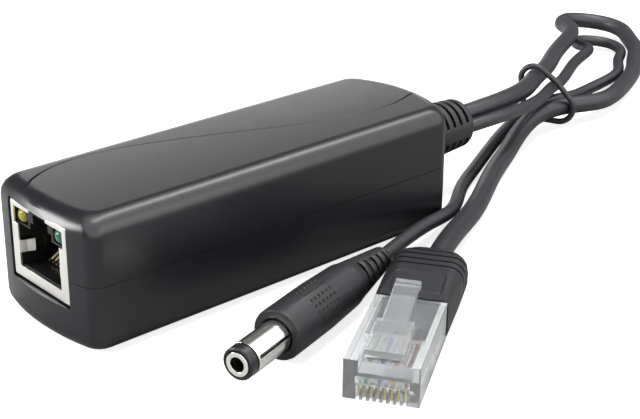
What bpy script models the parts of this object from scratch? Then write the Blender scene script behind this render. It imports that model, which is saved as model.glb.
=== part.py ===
"""Power over Ethernet splitter: a two-part housing with an RJ45 jack, and two captive leads.

The housing lies along Y, with its jack at -Y and its leads at +Y. Z is up, and the origin is on
the table under the middle of the housing. All lengths are in metres.
"""

import math

import bmesh
import bpy
import numpy as np
from mathutils import Matrix, Vector

MM = 0.001

# Housing
HOUSING_LENGTH = 83.8 * MM
HOUSING_WIDTH = 27.4 * MM
HOUSING_HEIGHT = 23.0 * MM
FRONT_BOW = 2.1 * MM
BACK_BOW = 4.6 * MM
HOUSING_CORNER = 2.8 * MM
TOP_ROUND = 3.3 * MM
BOTTOM_ROUND = 2.5 * MM
WALL = 1.8 * MM
SEAM_HEIGHT = 11.8 * MM
SEAM_GAP = 0.3 * MM
TONGUE_HEIGHT = 1.6 * MM
TONGUE_OUTER_INSET = 1.0 * MM
TONGUE_DEPTH = 1.1 * MM
ENGRAVED_LINE_DEPTH = 0.25 * MM
FIT = 0.25 * MM

# Circuit board
BOARD_TOP = 6.85 * MM
BOARD_THICKNESS = 1.6 * MM
BOARD_SIDE_CLEARANCE = 0.6 * MM
POST_RADIUS = 1.3 * MM
POST_PIN_RADIUS = 0.7 * MM
COMPONENT_EDGE = 0.5 * MM
ROW_GAP = 1.8 * MM

# Jack
JACK_WIDTH = 16.2 * MM
JACK_HEIGHT = 13.4 * MM
JACK_DEPTH = 16.0 * MM
JACK_SETBACK = 0.9 * MM
SHIELD_THICKNESS = 0.3 * MM
CAVITY_WIDTH = 12.2 * MM
CAVITY_HEIGHT = 7.1 * MM
CAVITY_DEPTH = 13.2 * MM
CAVITY_FLOOR = 2.2 * MM
CONTACT_PITCH = 1.02 * MM
CONTACT_RADIUS = 0.23 * MM
CONTACT_COUNT = 8
LED_WIDTH = 2.9 * MM
LED_HEIGHT = 2.5 * MM
LED_LENGTH = 3.6 * MM
LED_INNER_EDGE = 3.9 * MM
LED_TOP_INSET = 1.15 * MM
LED_DOME_RADIUS = 1.2 * MM
SPRING_LENGTH = 2.6 * MM
SPRING_HEIGHT = 2.1 * MM
SPRING_FLOOR = 4.4 * MM
SPRING_LEAN = math.radians(24)

# Strain relief at the back of the housing
RELIEF_HEIGHT = 12.3 * MM
RELIEF_RADIUS = 5.8 * MM
RELIEF_END_RADIUS = 4.9 * MM
RELIEF_LENGTH = 13.3 * MM
FLANGE_RADIUS = 7.5 * MM
FLANGE_THICKNESS = 1.6 * MM
RELIEF_SLOTS = 4
RELIEF_SLOT_PITCH = 1.95 * MM
RELIEF_SLOT_WIDTH = 0.75 * MM
RELIEF_SLOT_DEPTH = 1.1 * MM
RELIEF_WEB = 1.5 * MM
SADDLE_THICKNESS = 1.3 * MM
SADDLE_NOTCH_RADIUS = 5.0 * MM

# Leads
LAN_CORD_DIAMETER = 3.9 * MM
DC_CORD_DIAMETER = 2.6 * MM
TIE_DIAMETER = 1.3 * MM

# Network plug, lying with its latch up
PLUG_PLACE = Vector((51.9, -16.06, 0.0)) * MM
PLUG_TURN = math.radians(33.2)
PLUG_WIDTH = 11.68 * MM
PLUG_HEIGHT = 6.6 * MM
PLUG_LENGTH = 21.5 * MM
BOOT_WIDTH = 13.2 * MM
BOOT_HEIGHT = 7.2 * MM
BOOT_FRONT_WIDTH = 12.0 * MM
BOOT_FRONT_HEIGHT = 6.75 * MM
BOOT_LENGTH = 20.0 * MM
BOOT_CORNER = 2.6 * MM
BOOT_END_CORNER = 4.5 * MM
BOOT_SLOTS = 5
BOOT_SLOT_PITCH = 1.9 * MM
BOOT_SLOT_WIDTH = 0.5 * MM
BOOT_SLOT_DEPTH = 0.7 * MM
LATCH_THICKNESS = 0.9 * MM
LATCH_WIDTH = 4.0 * MM
LATCH_SHOULDER_WIDTH = 6.0 * MM
LATCH_SHOULDER_LENGTH = 8.6 * MM
LATCH_LENGTH = 18.6 * MM
LATCH_SLOPE = math.radians(12.5)
LATCH_LIP = 1.4 * MM
WIRE_DIAMETER = 0.75 * MM

# Power plug
DC_PLUG_PLACE = Vector((35.28, -29.64, 4.4)) * MM
DC_PLUG_TURN = math.radians(16.3)
BARREL_RADIUS = 2.75 * MM
BARREL_WALL = 0.4 * MM
BARREL_LENGTH = 10.5 * MM
BARREL_HIDDEN = 3.5 * MM
SOCKET_HOLE_RADIUS = 1.25 * MM
SOCKET_WALL = 0.4 * MM
SOCKET_FLARE = 0.35 * MM
COLLAR_LENGTH = 1.7 * MM
SLEEVE_SLOT_WIDTH = 0.55 * MM
GRIP_RADIUS = 4.35 * MM
GRIP_LENGTH = 21.0 * MM
DC_RELIEF_LENGTH = 12.0 * MM
DC_RELIEF_END_RADIUS = 2.1 * MM
DC_RELIEF_SLOTS = 5
DC_RELIEF_SLOT_PITCH = 2.05 * MM
DC_RELIEF_SLOT_WIDTH = 0.75 * MM
DC_RELIEF_WEB = 0.85 * MM

# Routes of the two leads, in millimetres: from the strain relief, down to the table, round the
# loop, back through the tie and up to each plug
LAN_ROUTE = [
    (-0.7, 55.5, 13.1), (-0.8, 60, 13.1), (-1.6, 67, 12.8), (-3.6, 75.5, 12.1), (-7.2, 84.6, 11.1),
    (-12.4, 93.8, 10), (-17.96, 104.29, 8.8), (-25.51, 116.8, 7.8), (-32.46, 129.78, 6.9),
    (-40.53, 140.83, 6), (-46.52, 145.53, 5), (-48.19, 149.9, 4.6), (-47.77, 153.26, 4.1),
    (-45.46, 156.7, 3.6), (-40.72, 158.74, 3.2), (-36.59, 158.06, 2.9), (-31.81, 154.59, 2.6),
    (-26, 149.65, 2.3), (-20.99, 142.82, 2), (-16.07, 135.79, 2), (-12.03, 127.92, 2),
    (-7.99, 119.14, 2.6), (-5.01, 108.78, 3.2), (-5.87, 99.34, 4.1), (-7, 90.5, 4.1),
    (-4.7, 80.5, 2.7), (0.1, 71, 2), (6, 60, 2), (12.1, 50, 2), (17.7, 40.3, 2.4),
    (21.4, 32.8, 2.9), (25.1, 25.9, 3.4), (29, 19, 3.6),
]
DC_ROUTE = [
    (2.9, 55.5, 12.1), (3, 60, 12.1), (2.2, 67, 11.6), (0.2, 75.5, 10.7), (-3.4, 85, 9.5),
    (-8.8, 95, 8.1), (-14.3, 105.77, 6.3), (-20.69, 117.17, 5.4), (-26.09, 128.29, 4.6),
    (-31.08, 136.45, 3.9), (-35.83, 138.63, 3.2), (-38.29, 141.79, 2.8), (-38.21, 145.45, 2.3),
    (-35.94, 148.23, 1.9), (-32.34, 149.05, 1.7), (-29.18, 147.73, 1.5), (-24.55, 141.02, 1.32),
    (-18.85, 133.48, 1.4), (-16.14, 125.43, 1.5), (-14.73, 116.89, 1.6), (-12.7, 107.98, 2.4),
    (-11.65, 99.01, 3.6), (-11.1, 90, 3.1), (-8.7, 79.8, 1.7), (-4.1, 69.9, 1.4), (1.4, 59.2, 1.36),
    (7.1, 49.2, 1.6), (12.1, 42.4, 2.1), (15.3, 36.6, 2.9), (17, 30.5, 3.5), (19.4, 22.5, 4),
    (22.98, 12.45, 4.4),
]
# The tie that holds the four stretches together: a point in its plane and the way the plane faces
TIE_PLACE = Vector((-13.0, 92.2, 6.0)) * MM
TIE_ALONG = Vector((-0.44, 0.898, 0.021)).normalized()
TIE_REACH = 20 * MM
TIE_SLACK = 0.3 * MM

# The line engraved in the top face, in millimetres from the middle of the housing
ENGRAVED_LINE = [
    (-4.6, -39.9), (-5.9, -38.6), (-8.6, -34.0), (-9.9, -28.0), (-9.7, -22.5), (-8.5, -16.5),
    (-6.0, -9.0), (-2.6, 0.0), (0.9, 8.5), (3.8, 17.0), (5.2, 25.0), (5.0, 32.0), (3.4, 38.0),
    (2.4, 41.0),
]

for scene_object in list(bpy.data.objects):
    bpy.data.objects.remove(scene_object)


def collection(name):
    made = bpy.data.collections.new(name)
    bpy.context.scene.collection.children.link(made)
    return made


PARTS = collection("poe_splitter")
CUTTERS = collection("cutters")


# Materials

def principled(name, colour, roughness, metallic=0.0, transmission=0.0):
    material = bpy.data.materials.new(name)
    material.use_nodes = True
    shader = material.node_tree.nodes["Principled BSDF"]
    shader.inputs["Base Color"].default_value = (*colour, 1.0)
    shader.inputs["Roughness"].default_value = roughness
    shader.inputs["Metallic"].default_value = metallic
    shader.inputs["Transmission Weight"].default_value = transmission
    return material


SHELL_BLACK = principled("satin_black_abs", (0.025, 0.026, 0.029), 0.42)
JACKET_BLACK = principled("cord_jacket_pvc", (0.03, 0.031, 0.034), 0.5)
RUBBER_BLACK = principled("moulded_relief_pvc", (0.028, 0.028, 0.03), 0.55)
INSERT_BLACK = principled("jack_insert_pbt", (0.012, 0.012, 0.013), 0.5)
NICKEL = principled("nickel_plate", (0.76, 0.75, 0.72), 0.2, 1.0)
TINNED_STEEL = principled("tinned_steel", (0.72, 0.73, 0.74), 0.28, 1.0)
GOLD = principled("gold_plate", (0.9, 0.66, 0.26), 0.25, 1.0)
CLEAR = principled("clear_polycarbonate", (0.9, 0.93, 0.95), 0.08, 0.0, 0.95)
YELLOW_LENS = principled("yellow_lens", (0.75, 0.55, 0.08), 0.3)
GREEN_LENS = principled("green_lens", (0.06, 0.3, 0.16), 0.3)
BOARD_GREEN = principled("solder_mask", (0.02, 0.16, 0.07), 0.4)
FERRITE = principled("ferrite", (0.05, 0.05, 0.055), 0.6)
TAPE = principled("yellow_tape", (0.75, 0.6, 0.12), 0.45)
CAN = principled("capacitor_sleeve", (0.03, 0.05, 0.12), 0.35)
EPOXY = principled("chip_epoxy", (0.02, 0.02, 0.02), 0.55)
DISC_BLUE = principled("ceramic_disc", (0.06, 0.16, 0.42), 0.4)


# Shapes

def arc(centre, radius, start, end, steps):
    """Points on an arc in the plane, both ends included."""
    return [
        (centre[0] + radius * math.cos(start + (end - start) * i / steps),
         centre[1] + radius * math.sin(start + (end - start) * i / steps))
        for i in range(steps + 1)
    ]


def add_object(name, mesh, material, frame=None, home=PARTS):
    made = bpy.data.objects.new(name, mesh)
    home.objects.link(made)
    made.parent = frame
    if home is CUTTERS:
        made.hide_render = True
        made.display_type = "WIRE"
    else:
        mesh.materials.append(material)
    return made


def from_bmesh(name, shape, material=None, frame=None, home=PARTS, smooth=False):
    bmesh.ops.recalc_face_normals(shape, faces=shape.faces)
    mesh = bpy.data.meshes.new(name)
    shape.to_mesh(mesh)
    shape.free()
    if smooth:
        mesh.shade_smooth()
        mesh.set_sharp_from_angle(angle=math.radians(35))
    return add_object(name, mesh, material, frame, home)


def add_block(shape, low, high):
    """A box between two corners."""
    low, high = Vector(low), Vector(high)
    place = Matrix.Translation((low + high) / 2) @ Matrix.Diagonal((*(high - low), 1.0))
    return bmesh.ops.create_cube(shape, size=1.0, matrix=place)["verts"]


def add_rod(shape, radius, start, end, segments=16, end_radius=None):
    """A round bar or cone from one point to another."""
    start, end = Vector(start), Vector(end)
    along = end - start
    place = Matrix.Translation((start + end) / 2) @ along.to_track_quat("Z", "Y").to_matrix().to_4x4()
    return bmesh.ops.create_cone(
        shape, cap_ends=True, segments=segments, radius1=radius,
        radius2=radius if end_radius is None else end_radius, depth=along.length, matrix=place)["verts"]


def block(name, low, high, material=None, frame=None, home=PARTS):
    shape = bmesh.new()
    add_block(shape, low, high)
    return from_bmesh(name, shape, material, frame, home)


def blocks(name, corners, frame=None, home=CUTTERS):
    """Several boxes that don't meet, used as one cutter."""
    shape = bmesh.new()
    for low, high in corners:
        add_block(shape, low, high)
    return from_bmesh(name, shape, None, frame, home)


def cut(target, cutter, operation="DIFFERENCE"):
    step = target.modifiers.new(cutter.name, "BOOLEAN")
    step.object = cutter
    step.operation = operation
    step.solver = "EXACT"


def round_edges(target, width, segments=1, angle=40):
    step = target.modifiers.new("rounded edges", "BEVEL")
    step.width = width
    step.segments = segments
    step.limit_method = "ANGLE"
    step.angle_limit = math.radians(angle)


def loft(name, rings, material=None, frame=None, home=PARTS, capped=(True, True)):
    """A skin through rings of equally many points, closed at the ends that are capped."""
    shape = bmesh.new()
    loops = [[shape.verts.new(point) for point in ring] for ring in rings]
    for lower, upper in zip(loops, loops[1:]):
        for i in range(len(lower)):
            j = (i + 1) % len(lower)
            shape.faces.new((lower[i], lower[j], upper[j], upper[i]))
    if capped[0]:
        shape.faces.new(reversed(loops[0]))
    if capped[1]:
        shape.faces.new(loops[-1])
    return from_bmesh(name, shape, material, frame, home, smooth=True)


def turned(name, profile, material=None, frame=None, home=PARTS, steps=24, closed=False):
    """A turned shape: (radius, distance) pairs along the outer side, spun about the frame's Y axis."""
    shape = bmesh.new()
    points = [shape.verts.new((radius, 0.0, along)) for radius, along in reversed(profile)]
    for first, second in zip(points, points[1:]):
        shape.edges.new((first, second))
    if closed:
        shape.edges.new((points[-1], points[0]))
    mesh = bpy.data.meshes.new(name)
    shape.to_mesh(mesh)
    shape.free()
    made = add_object(name, mesh, material, frame, home)
    made.rotation_euler.x = -math.pi / 2
    screw = made.modifiers.new("turned", "SCREW")
    screw.axis = "Z"
    screw.steps = screw.render_steps = steps
    screw.use_merge_vertices = True
    screw.merge_threshold = 0.00001
    screw.use_smooth_shade = True
    return made


def tube(name, points, radius, material, resolution=2, frame=None, home=PARTS, cyclic=False):
    """A round wire or cord through the points."""
    curve = bpy.data.curves.new(name, "CURVE")
    curve.dimensions = "3D"
    curve.bevel_depth = radius
    curve.bevel_resolution = resolution
    curve.use_fill_caps = not cyclic
    spline = curve.splines.new("POLY")
    spline.points.add(len(points) - 1)
    for target, point in zip(spline.points, points):
        target.co = (*point, 1.0)
    spline.use_cyclic_u = cyclic
    if material:
        curve.materials.append(material)
    made = bpy.data.objects.new(name, curve)
    home.objects.link(made)
    made.parent = frame
    return made


def meshed_cutter(curve_object):
    """Turns a tube into a closed mesh, so that it can cut."""
    bpy.context.view_layer.update()
    evaluated = curve_object.evaluated_get(bpy.context.evaluated_depsgraph_get())
    mesh = bpy.data.meshes.new_from_object(evaluated)
    shape = bmesh.new()
    shape.from_mesh(mesh)
    bmesh.ops.remove_doubles(shape, verts=shape.verts, dist=0.000001)
    name, place = curve_object.name, curve_object.matrix_world.copy()
    bpy.data.objects.remove(curve_object)
    made = from_bmesh(name, shape, home=CUTTERS)
    made.matrix_world = place
    return made


def smooth_route(route, spacing):
    """Evenly spaced points on a natural cubic spline through the route's points."""
    knots = np.array(route, float) * MM
    gaps = np.linalg.norm(np.diff(knots, axis=0), axis=1)
    count = len(knots)
    system = np.eye(count)
    right = np.zeros((count, 3))
    for i in range(1, count - 1):
        system[i, i - 1:i + 2] = gaps[i - 1], 2 * (gaps[i - 1] + gaps[i]), gaps[i]
        right[i] = 6 * ((knots[i + 1] - knots[i]) / gaps[i] - (knots[i] - knots[i - 1]) / gaps[i - 1])
    bends = np.linalg.solve(system, right)
    fine = []
    for i, gap in enumerate(gaps):
        for step in np.linspace(0, gap, 24, endpoint=i == count - 2):
            before, after = gap - step, step
            fine.append(
                (bends[i] * before ** 3 + bends[i + 1] * after ** 3) / (6 * gap)
                + (knots[i] / gap - bends[i] * gap / 6) * before
                + (knots[i + 1] / gap - bends[i + 1] * gap / 6) * after)
    fine = np.array(fine)
    walked = np.concatenate([[0], np.cumsum(np.linalg.norm(np.diff(fine, axis=0), axis=1))])
    wanted = np.linspace(0, walked[-1], round(walked[-1] / spacing) + 1)
    return [tuple(float(np.interp(place, walked, fine[:, k])) for k in range(3)) for place in wanted]


# Housing

def bowed_end(bow, inset):
    """One bowed end of the housing's plan with its two corners, as seen at the +Y end."""
    half_width = HOUSING_WIDTH / 2
    radius = (half_width ** 2 + bow ** 2) / (2 * bow)
    arc_y = HOUSING_LENGTH / 2 - radius
    corner_x = half_width - inset - HOUSING_CORNER
    corner_y = arc_y + math.sqrt((radius - inset - HOUSING_CORNER) ** 2 - corner_x ** 2)
    turn = math.atan2(corner_y - arc_y, corner_x)
    return (arc((corner_x, corner_y), HOUSING_CORNER, 0, turn, 4)
            + arc((0, arc_y), radius - inset, turn, math.pi - turn, 8)[1:-1]
            + arc((-corner_x, corner_y), HOUSING_CORNER, math.pi - turn, math.pi, 4))


def housing_outline(inset, height):
    """The housing's plan, set in all round, at one height."""
    back = bowed_end(BACK_BOW, inset)
    front = [(-x, -y) for x, y in bowed_end(FRONT_BOW, inset)]
    return [(x, y, height) for x, y in back + front]


def end_of_cavity(bow, x, inset):
    """How far from the middle the end wall stands at x, at one inset from the outside."""
    half_width = HOUSING_WIDTH / 2
    radius = (half_width ** 2 + bow ** 2) / (2 * bow)
    arc_y = HOUSING_LENGTH / 2 - radius
    corner_x = half_width - inset - HOUSING_CORNER
    corner_y = arc_y + math.sqrt((radius - inset - HOUSING_CORNER) ** 2 - corner_x ** 2)
    if x > corner_x + HOUSING_CORNER * corner_x / (radius - inset - HOUSING_CORNER):
        return corner_y + math.sqrt(HOUSING_CORNER ** 2 - (x - corner_x) ** 2)
    return arc_y + math.sqrt((radius - inset) ** 2 - x ** 2)


def half_shell(name, levels):
    """A shell: rings of (inset, height) from the seam to the closed face, given a wall inwards."""
    made = loft(name, [housing_outline(inset, height) for inset, height in levels], SHELL_BLACK,
                capped=(False, True))
    mesh = made.data
    flat_face = max(mesh.polygons, key=lambda face: face.area)
    outward = 1 if levels[-1][1] > levels[0][1] else -1
    if flat_face.normal.z * outward < 0:
        mesh.flip_normals()
    wall = made.modifiers.new("wall", "SOLIDIFY")
    wall.thickness = WALL
    wall.offset = -1
    wall.use_even_offset = True
    return made


JACK_FRONT = -HOUSING_LENGTH / 2 + JACK_SETBACK
JACK_BOTTOM = BOARD_TOP + FIT
JACK_TOP = JACK_BOTTOM + JACK_HEIGHT
LED_FLOOR = JACK_HEIGHT - LED_TOP_INSET - LED_HEIGHT
PIN_Y = CAVITY_DEPTH + 1.7 * MM
BOARD_BOTTOM = BOARD_TOP - BOARD_THICKNESS
BOARD_WIDTH = HOUSING_WIDTH - 2 * (WALL + BOARD_SIDE_CLEARANCE)
BOARD_FRONT = -end_of_cavity(FRONT_BOW, BOARD_WIDTH / 2, WALL) + 2 * FIT
TONGUE_INNER_INSET = TONGUE_OUTER_INSET + TONGUE_DEPTH
FLANGE_BACK = end_of_cavity(BACK_BOW, FLANGE_RADIUS, max(WALL, TONGUE_INNER_INSET)) - FIT
FLANGE_FRONT = FLANGE_BACK - FLANGE_THICKNESS
SADDLE_BACK = FLANGE_FRONT - FIT
SADDLE_FRONT = SADDLE_BACK - SADDLE_THICKNESS
BOARD_BACK = SADDLE_FRONT - 2 * FIT
RELIEF_END = HOUSING_LENGTH / 2 + RELIEF_LENGTH
POST_X = BOARD_WIDTH / 2 - POST_RADIUS - FIT / 2
POST_FRONT_Y = BOARD_FRONT + 2 * POST_RADIUS
POST_BACK_Y = BOARD_BACK - 2 * POST_RADIUS


def quarter_round(radius, steps=5):
    """(inset, rise) pairs along a rounded edge."""
    return [(radius * (1 - math.cos(i * math.pi / 2 / steps)), radius * math.sin(i * math.pi / 2 / steps))
            for i in range(steps + 1)]


def post(name, x, y, low, high, shell, pin=0.0):
    """A round post in a shell, with a thinner pin on its end where it locates the board."""
    shape = bmesh.new()
    add_rod(shape, POST_RADIUS, (x, y, low), (x, y, high), 12)
    cut(shell, from_bmesh(name, shape, home=CUTTERS), "UNION")
    if pin:
        shape = bmesh.new()
        add_rod(shape, POST_PIN_RADIUS, (x, y, high - FIT), (x, y, high + pin), 10)
        cut(shell, from_bmesh(name + "_pin", shape, home=CUTTERS), "UNION")


def rings_at_depth(depth):
    """The whole housing's form at one depth in from its outside, as (inset, height) rings."""
    bottom = [(depth + inset, BOTTOM_ROUND - rise)
              for inset, rise in reversed(quarter_round(BOTTOM_ROUND - depth))]
    top = [(depth + inset, HOUSING_HEIGHT - TOP_ROUND + rise)
           for inset, rise in quarter_round(TOP_ROUND - depth)]
    return [housing_outline(inset, height) for inset, height in bottom + top]


def saddle(name, shell, low, high):
    """The rib that traps the strain relief's flange, notched for the leads."""
    reach = HOUSING_WIDTH / 2
    rib = block(name, (-reach, SADDLE_FRONT, low), (reach, SADDLE_BACK, high), home=CUTTERS)
    cut(rib, loft(name + "_limit", rings_at_depth(WALL / 2), home=CUTTERS), "INTERSECT")
    notch = bmesh.new()
    add_rod(notch, SADDLE_NOTCH_RADIUS, (0, SADDLE_FRONT - WALL, RELIEF_HEIGHT),
            (0, SADDLE_BACK + WALL, RELIEF_HEIGHT), 20)
    cut(rib, from_bmesh(name + "_notch", notch, home=CUTTERS))
    cut(shell, rib, "UNION")


def make_openings():
    """The jack's window and the hole for the strain relief, which both shells share."""
    half = JACK_WIDTH / 2 + FIT
    window = block("jack_window", (-half, -HOUSING_LENGTH, JACK_BOTTOM - FIT),
                   (half, BOARD_FRONT, JACK_TOP + FIT), home=CUTTERS)
    shape = bmesh.new()
    add_rod(shape, RELIEF_RADIUS + FIT, (0, FLANGE_FRONT, RELIEF_HEIGHT),
            (0, HOUSING_LENGTH, RELIEF_HEIGHT), 32)
    return window, from_bmesh("relief_hole", shape, home=CUTTERS)


def make_lower_shell(window, relief_hole):
    levels = [(0, SEAM_HEIGHT - SEAM_GAP / 2)]
    levels += [(inset, BOTTOM_ROUND - rise) for inset, rise in quarter_round(BOTTOM_ROUND)]
    shell = half_shell("lower_shell", levels)
    tongue = loft("seam_tongue", [
        housing_outline(TONGUE_OUTER_INSET, SEAM_HEIGHT - WALL),
        housing_outline(TONGUE_OUTER_INSET, SEAM_HEIGHT + TONGUE_HEIGHT)], home=CUTTERS)
    tongue_hollow = loft("seam_tongue_hollow", [
        housing_outline(TONGUE_INNER_INSET, 0),
        housing_outline(TONGUE_INNER_INSET, HOUSING_HEIGHT)], home=CUTTERS)
    cut(tongue, tongue_hollow)
    cut(shell, tongue, "UNION")
    saddle("lower_saddle", shell, WALL / 2, SEAM_HEIGHT - FIT)
    cut(shell, window)
    cut(shell, relief_hole)
    for name, x, y, pin in (("front_left", -POST_X, POST_FRONT_Y, BOARD_THICKNESS),
                            ("front_right", POST_X, POST_FRONT_Y, 0),
                            ("middle_left", -POST_X, 0, 0), ("middle_right", POST_X, 0, 0),
                            ("back_left", -POST_X, POST_BACK_Y, 0),
                            ("back_right", POST_X, POST_BACK_Y, BOARD_THICKNESS)):
        post("board_post_" + name, x, y, WALL / 2, BOARD_BOTTOM - FIT, shell, pin)
    return shell


def make_upper_shell(window, relief_hole):
    levels = [(0, SEAM_HEIGHT + SEAM_GAP / 2)]
    levels += [(inset, HOUSING_HEIGHT - TOP_ROUND + rise) for inset, rise in quarter_round(TOP_ROUND)]
    shell = half_shell("upper_shell", levels)
    rebate = loft("seam_rebate", [
        housing_outline(TONGUE_OUTER_INSET - FIT, SEAM_HEIGHT - WALL),
        housing_outline(TONGUE_OUTER_INSET - FIT, SEAM_HEIGHT + TONGUE_HEIGHT + FIT)], home=CUTTERS)
    cut(shell, rebate)
    saddle("upper_saddle", shell, SEAM_HEIGHT + TONGUE_HEIGHT + 2 * FIT, HOUSING_HEIGHT - WALL / 2)
    cut(shell, window)
    cut(shell, relief_hole)
    for name, x, y in (("front_left", -POST_X, POST_FRONT_Y), ("front_right", POST_X, POST_FRONT_Y),
                       ("back_left", -POST_X, POST_BACK_Y), ("back_right", POST_X, POST_BACK_Y)):
        post("board_clamp_" + name, x, y, BOARD_TOP + 2 * FIT, HOUSING_HEIGHT - WALL / 2, shell)
    line = smooth_route([(x, y, HOUSING_HEIGHT / MM) for x, y in ENGRAVED_LINE], 3 * MM)
    groove = tube("engraved_line", line, ENGRAVED_LINE_DEPTH, None, resolution=0, home=CUTTERS)
    cut(shell, meshed_cutter(groove))
    return shell


# Jack

def jack_point(x, y, z):
    """A point given from the jack's bottom front middle."""
    return (x, JACK_FRONT + y, JACK_BOTTOM + z)


def jack_block(name, low, high):
    return block(name, jack_point(*low), jack_point(*high), home=CUTTERS)


def make_jack_shield():
    """The sheet-metal shell round the jack, open below, with a framed mouth and two side springs."""
    half = JACK_WIDTH / 2
    sheet = SHIELD_THICKNESS
    shield = block("jack_shield", jack_point(-half, 0, 0), jack_point(half, JACK_DEPTH, JACK_HEIGHT),
                   TINNED_STEEL)
    round_edges(shield, 0.4 * MM, 2)
    cut(shield, jack_block("shield_hollow", (-half + sheet, sheet, -sheet),
                           (half - sheet, JACK_DEPTH - sheet, JACK_HEIGHT - sheet)))
    side = CAVITY_WIDTH / 2 - 0.1 * MM
    led_side = LED_INNER_EDGE + LED_WIDTH + 0.25 * MM
    led_top = LED_FLOOR + LED_HEIGHT + 0.2 * MM
    latch_side = 2.4 * MM
    mouths = [((-side, -MM, CAVITY_FLOOR - 0.1 * MM), (side, 2 * sheet, LED_FLOOR)),
              ((-led_side, -2 * MM, LED_FLOOR - 0.25 * MM), (led_side, 3 * sheet, led_top)),
              ((-latch_side, -3 * MM, LED_FLOOR), (latch_side, 4 * sheet, JACK_HEIGHT - 0.4 * MM))]
    for number, (low, high) in enumerate(mouths):
        cut(shield, jack_block(f"shield_mouth_{number + 1}", low, high))
    for name, side_sign in (("shield_spring_left", -1), ("shield_spring_right", 1)):
        cut(shield, jack_spring(name, side * side_sign, -side_sign), "UNION")
    return shield


def jack_spring(name, x, inwards):
    """A spring tab at one side of the mouth, bent into the cavity in two steps."""
    half_sheet = 0.12 * MM
    middle = Vector((x, 0.05 * MM))
    near, far = [], []
    for lean in (0.6 * SPRING_LEAN, SPRING_LEAN, 1.4 * SPRING_LEAN):
        along = Vector((inwards * math.sin(lean), math.cos(lean)))
        across = Vector((along.y, -along.x)) * half_sheet
        near.append(middle - across)
        far.append(middle + across)
        middle = middle + along * SPRING_LENGTH / 2
    plan = near + list(reversed(far))
    return loft(name, [[jack_point(*corner, height) for corner in plan]
                       for height in (SPRING_FLOOR, SPRING_FLOOR + SPRING_HEIGHT)], home=CUTTERS)


def make_jack_insert():
    """The plastic block inside the shield: plug cavity, latch steps and pockets for the lamps."""
    half = JACK_WIDTH / 2 - SHIELD_THICKNESS - FIT
    front = SHIELD_THICKNESS + FIT
    back = CAVITY_DEPTH + 0.9 * MM
    top = JACK_HEIGHT - SHIELD_THICKNESS - FIT
    insert = block("jack_insert", jack_point(-half, front, 0), jack_point(half, back, top), INSERT_BLACK)
    cavity_top = CAVITY_FLOOR + CAVITY_HEIGHT
    cavity = CAVITY_WIDTH / 2
    shoulder, latch = 3.1 * MM, 2.1 * MM
    hollows = [("plug", (-cavity, 0, CAVITY_FLOOR), (cavity, CAVITY_DEPTH, cavity_top)),
               ("latch_shoulder", (-shoulder, -MM, CAVITY_FLOOR + MM),
                (shoulder, 11 * MM, cavity_top + 1.2 * MM)),
               ("latch", (-latch, -2 * MM, CAVITY_FLOOR + 2 * MM), (latch, 10 * MM, cavity_top + 2.9 * MM))]
    for name, low, high in hollows:
        cut(insert, jack_block("cavity_" + name, low, high))
    spring_low, spring_high = SPRING_FLOOR - 0.4 * MM, SPRING_FLOOR + SPRING_HEIGHT + 0.4 * MM
    cut(insert, blocks("spring_recesses", [
        (jack_point(-cavity - 0.5 * MM, 0, spring_low), jack_point(MM - cavity, 5 * MM, spring_high)),
        (jack_point(cavity - MM, 0, spring_low), jack_point(cavity + 0.5 * MM, 5 * MM, spring_high))]))
    clearance = 0.2 * MM
    for side_sign, name in ((-1, "left"), (1, "right")):
        edges = sorted((side_sign * (LED_INNER_EDGE - clearance),
                        side_sign * (LED_INNER_EDGE + LED_WIDTH + clearance)))
        cut(insert, jack_block("lamp_pocket_" + name, (edges[0], -MM, LED_FLOOR - clearance),
                               (edges[1], LED_LENGTH + MM, LED_FLOOR + LED_HEIGHT + clearance)))
    reach = CONTACT_PITCH * CONTACT_COUNT / 2
    cut(insert, jack_block("contact_slot", (-reach, CAVITY_DEPTH - MM, 4.6 * MM),
                           (reach, back + MM, 6.0 * MM)))
    return insert


def make_jack_contacts():
    """Eight spring wires: a pin through the board, up behind the block and forward into the cavity."""
    run = 5.3 * MM
    path = [(PIN_Y, -FIT - BOARD_THICKNESS - 0.7 * MM), (PIN_Y, run - 0.4 * MM), (PIN_Y - 0.4 * MM, run),
            (8.6 * MM, run), (4.3 * MM, CAVITY_FLOOR + 0.6 * MM), (3.8 * MM, CAVITY_FLOOR + 0.55 * MM)]
    for number in range(CONTACT_COUNT):
        x = (number - (CONTACT_COUNT - 1) / 2) * CONTACT_PITCH
        tube(f"jack_contact_{number + 1}", [jack_point(x, y, z) for y, z in path], CONTACT_RADIUS,
             GOLD, resolution=0)


def make_lamps():
    """Two lamps: a block in its pocket with a round domed lens in front, flat on top."""
    front = 0.1 * MM
    dome_length = 1.5 * MM
    profile = [(0, 0), (0.45, 0.04), (0.8, 0.2), (0.95, 0.36), (1, 0.6), (1, 1.2), (0, 1.2)]
    for name, side_sign, material in (("led_yellow", -1, YELLOW_LENS), ("led_green", 1, GREEN_LENS)):
        edges = sorted((side_sign * LED_INNER_EDGE, side_sign * (LED_INNER_EDGE + LED_WIDTH)))
        lamp = block(name, jack_point(edges[0], front + dome_length, LED_FLOOR),
                     jack_point(edges[1], front + LED_LENGTH, LED_FLOOR + LED_HEIGHT), material)
        round_edges(lamp, 0.3 * MM)
        rounded = [(LED_DOME_RADIUS * share, dome_length * depth) for share, depth in profile]
        dome = turned(name + "_dome", rounded, home=CUTTERS, steps=16)
        dome.location = jack_point(sum(edges) / 2, front, LED_FLOOR + LED_HEIGHT / 2)
        cut(lamp, dome, "UNION")
        flat = LED_FLOOR + LED_HEIGHT / 2 + 0.8 * LED_DOME_RADIUS
        cut(lamp, jack_block(name + "_flat", (edges[0], -MM, flat),
                             (edges[1], front + dome_length - 0.1 * MM, flat + MM)))


# Circuit board and what is on it

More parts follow.
